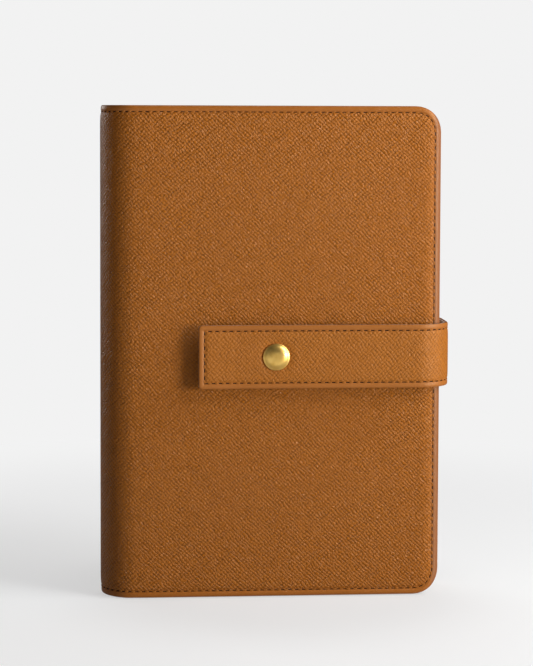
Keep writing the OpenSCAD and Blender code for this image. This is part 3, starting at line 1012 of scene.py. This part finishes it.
class COVER_OT_snap(bpy.types.Operator):
    """Presses the snap's domed cap and finishes its other parts"""
    bl_idname = "cover.snap"
    bl_label = "Snap"

    def execute(self, context):
        radius = (CAP_HIGH.x - CAP_LOW.x) / 2
        tall = FLAP_LOW.y - CAP_LOW.y
        base = FLAP_LOW.y
        now, height = 0.90, -0.35
        bpy.ops.mesh.primitive_circle_add(vertices=64, radius=radius * now, fill_type="NGON",
                                          location=(SNAP_X, base - height * MM, STRAP_Z),
                                          rotation=(math.pi / 2, 0, 0))
        cap = bpy.context.object
        cap.name = "domed_cap"
        settle()
        centre = (SNAP_X, base, STRAP_Z)
        rings = [(0.985, -0.05), (1.0, 0.20), (0.995, 0.34), (0.975, 0.46), (0.94, 0.54), (0.90, 0.60)]
        for k in range(1, DOME_RINGS):
            share = 0.90 * (1 - k / DOME_RINGS)
            rings.append((share, 0.60 + (tall / MM - 0.60) * (1 - (share / 0.90) ** DOME_POWER)))
        only(cap)
        mode("EDIT")
        bpy.ops.mesh.select_all(action="SELECT")
        for share, rise in rings:
            move = {"value": (0, -(rise - height) * MM, 0)}
            bpy.ops.mesh.extrude_region_move(TRANSFORM_OT_translate=move)
            factor = share / now
            bpy.ops.transform.resize(value=(factor, 1, factor), center_override=centre)
            now, height = share, rise
        mode("OBJECT")
        edit(cap, bpy.ops.mesh.normals_make_consistent, inside=False)
        smooth(cap, 50)
        give(cap, finish("worn_brass"))
        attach(cap, "strap_flap")
        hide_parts("snap_cap")
        for name in ("snap_socket", "snap_stud", "snap_post"):
            give(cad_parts[name], finish("worn_brass"))
        give(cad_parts["snap_spring"], finish("spring_wire"))
        return {"FINISHED"}


# The inside


def lining_place(sizes, side):
    """The lining follows the turned edges and tucks under them at the spine."""
    end = REACH - LINING_INSET

    def place(u, share):
        depth = LINING_DEPTH + (sizes.rim_depth + 0.02 * MM - LINING_DEPTH) * panel_share(u)
        inset = 5.2 * MM - 4.4 * MM * ease(u, QUARTER + 0.6 * MM, QUARTER + 6 * MM)
        z = inset + (TALL - 2 * inset) * share
        if u > end - sizes.corner:
            across = min(u, end) - (end - sizes.corner)
            bow = sizes.corner - math.sqrt(max(0.0, sizes.corner ** 2 - across ** 2))
            z = min(max(z, inset + bow), TALL - inset - bow)
        return on_cover(u, z, depth, side), (u, z), 0.0

    return place


class COVER_OT_inside(bpy.types.Operator):
    """Lays the linings, the padding and the slip pockets inside the panels"""
    bl_idname = "cover.inside"
    bl_label = "Inside"

    def execute(self, context):
        sizes = context.scene.cover_sizes
        end = REACH - LINING_INSET
        corner = [end - sizes.corner * (1 - math.sin(math.radians(a))) for a in range(0, 91, 9)]
        bend = QUARTER + 8 * MM
        across = steps(0, bend, 1.2 * MM) + steps(bend, corner[0], 8 * MM) + corner
        up = [k / 30 for k in range(31)]
        for name, side, fold in SIDES:
            lining = form(name + "_suede", across, up, lining_place(sizes, side), side > 0,
                          LINING_SKIN, "sueded_lining", 50)
            fold(lining)
            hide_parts(name + "_lining", *(["spine_lining"] if side < 0 else []))
            self.pocket(sizes, name, side)
            self.padding(name)
            give(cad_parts[name + "_stiffener"], finish("grey_card"))
        return {"FINISHED"}

    def pocket(self, sizes, name, side):
        """A slip pocket, sewn down along three sides and open towards the spine."""
        low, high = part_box(name + "_pocket")
        radius = sizes.corner - 1.2 * MM
        rows = in_metres(level(
            (0.0, 5.4), (0.5, 5.32), (1.2, 5.36), (1.6, 5.55), (1.9, 5.55), (2.3, 5.36), (3.0, 5.45),
            (3.6, 5.9), (4.2, 6.7), (4.8, 7.45), (5.4, 7.85), (6.2, 8.0), (radius / MM, 8.0)))
        inner = [row[0] for row in rows]
        up = [low.z + x for x in inner] + steps(low.z + radius, high.z - radius, 6 * MM)[1:]
        up += [high.z - x for x in reversed(inner)]
        across = [low.x + x * MM for x in (0, 0.8, 1.6, 2.0, 2.4, 3.2)]
        across += steps(low.x + 6 * MM, high.x - radius, 6 * MM) + [high.x - x for x in reversed(inner)]

        def place(x, z):
            at, rise, inset, depth = rounded(x, z, low.x, high.x, low.z, high.z, radius, rows,
                                             open_low=True)
            depth -= 0.25 * MM * math.exp(-((at - low.x - 2.0 * MM) / (0.5 * MM)) ** 2)
            y = MIDDLE + side * (HALF - depth)
            rim = 1 - ease(min(inset, at - low.x), 1.6 * MM, 3.0 * MM)
            return Vector((at, y, rise)), (at, rise), rim

        pocket = form(name + "_slip_pocket", across, up, place, side < 0, POCKET_SKIN,
                      "pocket_leather", 45)
        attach(pocket, name + "_cover")
        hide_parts(name + "_pocket")

    def padding(self, name):
        """A foam pad with rounded fore-edge corners, inside the panel's turned edge."""
        low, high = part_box(name + "_padding")
        low.x += 12 * MM
        high.x = FORE - 10 * MM
        bpy.ops.mesh.primitive_cube_add(size=1, location=(low + high) / 2, scale=high - low)
        pad = bpy.context.object
        pad.name = name + "_foam"
        settle()

        def fore_corner(edge):
            a, b = ends_of(pad, edge)
            return abs(a.y - b.y) > 1e-6 and a.x > 0

        pick(pad, "EDGE", fore_corner)
        bpy.ops.mesh.bevel(offset=3 * MM, segments=8)
        bpy.ops.mesh.select_mode(type="FACE")
        mode("OBJECT")
        edit(pad, bpy.ops.mesh.normals_make_consistent, inside=False)
        finish_with(pad, "BEVEL", width=0.4 * MM, segments=3, limit_method="ANGLE",
                    angle_limit=math.radians(50))
        smooth(pad, 50)
        give(pad, finish("foam_pad"))
        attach(pad, name + "_cover")
        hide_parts(name + "_padding")


class COVER_OT_notebook(bpy.types.Operator):
    """Finishes the notebook's pages, boards, endpapers and headbands"""
    bl_idname = "cover.notebook"
    bl_label = "Notebook"

    def execute(self, context):
        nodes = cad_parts
        for name, look in (("notebook_pages", "sheet_edges"), ("notebook_back_board", "book_cloth"),
                           ("notebook_front_board", "book_cloth"), ("notebook_spine_board", "book_cloth"),
                           ("back_endpaper", "endpaper"), ("front_endpaper", "endpaper"),
                           ("headbands", "headband_cloth")):
            give(nodes[name], finish(look))
        return {"FINISHED"}


# The stage


def area_light(name, place, aim, width, power):
    """A square white light, turned towards a point."""
    light = bpy.data.lights.new(name, "AREA")
    light.energy = power
    light.shape = "SQUARE"
    light.size = width
    lamp = bpy.data.objects.new(name, light)
    bpy.context.scene.collection.objects.link(lamp)
    lamp.location = place
    lamp.rotation_euler = (Vector(aim) - Vector(place)).to_track_quat("-Z", "Y").to_euler()


# Name, place, aim, width and watts of each light
LIGHTS = (("side_light", (0.48, -0.22, 0.50), (0.02, 0.0, 0.12), 0.36, 3.1),
          ("front_light", (0.90, -0.66, 0.14), (0.0, 0.0, 0.10), 0.40, 10.2),
          ("overhead_light", (0.1, -0.9, 1.7), (0.0, 0.0, 0.1), 1.7, 0.9),
          ("edge_light", (-0.85, 0.90, 0.40), (-0.07, 0.0, 0.12), 0.4, 2.6),
          ("fill_light", (-0.90, -1.00, 0.50), (-0.07, 0.0, 0.12), 0.9, 0.55),
          ("top_light", (0.0, 0.40, 1.25), (0.0, 0.0, 0.2), 0.5, 2.4))

# Distances from the object over which the floor turns to plain light, and depths in front of it
FAR_FLOOR = (0.16, 0.46)
NEAR_FLOOR = (-0.135, -0.24)


class COVER_OT_stage(bpy.types.Operator):
    """Sets the pale floor, the soft studio light and the camera"""
    bl_idname = "cover.stage"
    bl_label = "Stage"

    def execute(self, context):
        scene = context.scene
        tints = scene.cover_colours
        bpy.ops.mesh.primitive_plane_add(size=8, location=(0, -0.6, 0))
        floor = bpy.context.object
        floor.name = "floor"
        settle()
        pick(floor, "EDGE", lambda edge: min(end.y for end in ends_of(floor, edge)) > 3)
        bpy.ops.mesh.extrude_region_move(TRANSFORM_OT_translate={"value": (0, 0, 3.5)})
        mode("OBJECT")
        finish_with(floor, "BEVEL", width=1.2, segments=24, limit_method="ANGLE")
        smooth(floor, 60)
        material, tree, shader = start("pale_paper")
        place, apart, depth = self.reach(tree)
        fleck = noise(tree, place, 3.0, 3.0)
        tone = mix(tree, fleck, shade(tints.floor, 0.50), shade(tints.floor, 0.52))
        tone = mix(tree, span(tree, apart, *FAR_FLOOR, 0, 1, True), tone, (0, 0, 0, 1))
        # The floor itself glows, more strongly in front of the object, so that it also lights the object
        # and shows in the brass
        lit = span(tree, depth, *NEAR_FLOOR, 0.09, 0.66, True)
        feed(tree, shader, {"Base Color": tone, "Roughness": 0.9, "Specular IOR Level": 0.0,
                            "Emission Color": (1, 1, 1, 1), "Emission Strength": lit})
        give(floor, material)
        self.glow(floor)
        world = bpy.data.worlds.new("studio")
        scene.world = world
        world.use_nodes = True
        back = world.node_tree.nodes["Background"]
        back.inputs["Color"].default_value = (1, 1, 1, 1)
        back.inputs["Strength"].default_value = 0.01
        for light in LIGHTS:
            area_light(*light)
        eye = Vector((-0.0048, FRONT_LOW.y, 0.1689))
        tilt, yaw, far = math.radians(3.4), math.radians(4.5), 0.941
        camera_data = bpy.data.cameras.new("camera")
        camera = bpy.data.objects.new("camera", camera_data)
        scene.collection.objects.link(camera)
        back_way = Vector((-math.sin(yaw) * math.cos(tilt), -math.cos(yaw) * math.cos(tilt),
                           math.sin(tilt)))
        camera.location = eye + back_way * far
        camera.rotation_euler = (math.pi / 2 - tilt, math.radians(-0.2), -yaw)
        camera_data.lens = 110
        camera_data.sensor_width = 36
        camera_data.sensor_fit = "AUTO"
        camera_data.shift_y = -0.146
        camera_data.clip_end = 50
        scene.camera = camera
        scene.view_settings.view_transform = "Standard"
        return {"FINISHED"}

    def reach(self, tree):
        """A place on the floor, how far it is from the object, and its depth."""
        place = in_piece(tree)
        apart = node(tree, "VectorMath", {0: place}, operation="LENGTH").outputs["Value"]
        return place, apart, axis(tree, place, "Y")

    def glow(self, floor):
        """A faint glow laid over the floor and wall, as in an evenly lit studio, which lights
        nothing itself. It is weaker close to the object, which paints a soft shade on the floor round its
        base."""
        veil = floor.copy()
        veil.data = floor.data.copy()
        bpy.context.scene.collection.objects.link(veil)
        veil.name = "glow"
        floor.data.transform(Matrix.Translation((0, 0, -0.4 * MM)))
        veil.data.transform(Matrix.Translation((0, -1.0 * MM, -0.2 * MM)))
        veil.visible_diffuse = False
        veil.visible_glossy = False
        veil.visible_shadow = False
        material = bpy.data.materials.new("studio_glow")
        material.use_nodes = True
        tree = material.node_tree
        tree.nodes.clear()
        _, apart, depth = self.reach(tree)
        strength = span(tree, apart, *FAR_FLOOR, 0.475, 0.798, True)
        # The first amount taken off paints shade on the floor close round the object's base; the second
        # hands the glow in front over to the floor itself
        for less in (span(tree, apart, 0.06, 0.125, 0.05, 0, True),
                     span(tree, depth, *NEAR_FLOOR, 0, 0.57, True)):
            strength = math_node(tree, "SUBTRACT", strength, less)
        shine = node(tree, "Emission", {"Strength": strength}).outputs[0]
        clear = node(tree, "BsdfTransparent").outputs[0]
        both = node(tree, "AddShader", {0: shine, 1: clear}).outputs[0]
        node(tree, "OutputMaterial", {"Surface": both})
        give(veil, material)


class COVER_PT_panel(bpy.types.Panel):
    """Shows each step's button, and the sizes and colours, in the sidebar"""
    bl_idname = "COVER_PT_panel"
    bl_label = "Notebook cover"
    bl_space_type = "VIEW_3D"
    bl_region_type = "UI"
    bl_category = "Notebook cover"

    def draw(self, context):
        for operator in STEPS:
            self.layout.operator(operator.bl_idname)
        for group in (context.scene.cover_sizes, context.scene.cover_colours):
            box = self.layout.box()
            for name in group.__annotations__:
                box.prop(group, name)


STEPS = (COVER_OT_finishes, COVER_OT_skin, COVER_OT_seams, COVER_OT_strap, COVER_OT_snap,
         COVER_OT_inside, COVER_OT_notebook, COVER_OT_stage)
CLASSES = (CoverSizes, CoverColours) + STEPS + (COVER_PT_panel,)


def register():
    for one in CLASSES:
        bpy.utils.register_class(one)
    bpy.types.Scene.cover_sizes = bpy.props.PointerProperty(type=CoverSizes)
    bpy.types.Scene.cover_colours = bpy.props.PointerProperty(type=CoverColours)


def unregister():
    del bpy.types.Scene.cover_colours
    del bpy.types.Scene.cover_sizes
    for one in reversed(CLASSES):
        bpy.utils.unregister_class(one)


def main():
    register()
    for operator in STEPS:
        group, name = operator.bl_idname.split(".")
        getattr(getattr(bpy.ops, group), name)()


if __name__ == "__main__":
    main()
